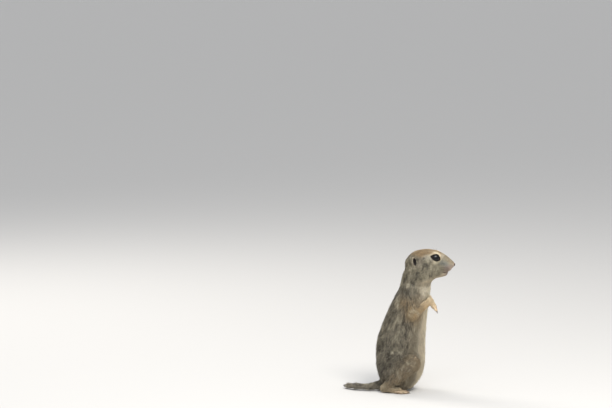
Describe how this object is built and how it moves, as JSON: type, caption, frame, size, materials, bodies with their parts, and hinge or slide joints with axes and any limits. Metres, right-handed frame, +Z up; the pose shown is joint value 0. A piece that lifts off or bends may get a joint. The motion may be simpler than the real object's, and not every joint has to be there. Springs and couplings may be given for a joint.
{
  "type": "young european ground squirrel, still life-size model",
  "caption": "Still, life-size model of a young European ground squirrel sitting upright on its hind feet with its forepaws hanging at its chest.",
  "frame": {"origin": "on the floor, under the middle of the animal's box", "axes": "+X the way the animal faces, +Y its left side, +Z up"},
  "size_m": [0.1034, 0.0534, 0.1316],
  "materials": {
    "coat": "short dense grizzled fur",
    "buff_coat": "short soft buff fur",
    "paws": "short sleek fur with bare toes",
    "claws": "smooth horn",
    "eyes": "wet gloss",
    "nose_skin": "fine bare skin"
  },
  "bodies": {
    "root": {"head": "coat", "nose": "nose_skin", "neck": "coat", "chest": "coat", "belly": "coat", "tail_base": "coat", "tail_middle": "coat", "tail_tip": "coat", "ear_left": "coat", "eye_left": "eyes", "upper_arm_left": "buff_coat", "forearm_left": "buff_coat", "forepaw_left": "paws", "thigh_left": "coat", "lower_leg_left": "coat", "hind_foot_left": "paws", "ear_right": "coat", "eye_right": "eyes", "upper_arm_right": "buff_coat", "forearm_right": "buff_coat", "forepaw_right": "paws", "thigh_right": "coat", "lower_leg_right": "coat", "hind_foot_right": "paws"}
  },
  "joints": []
}
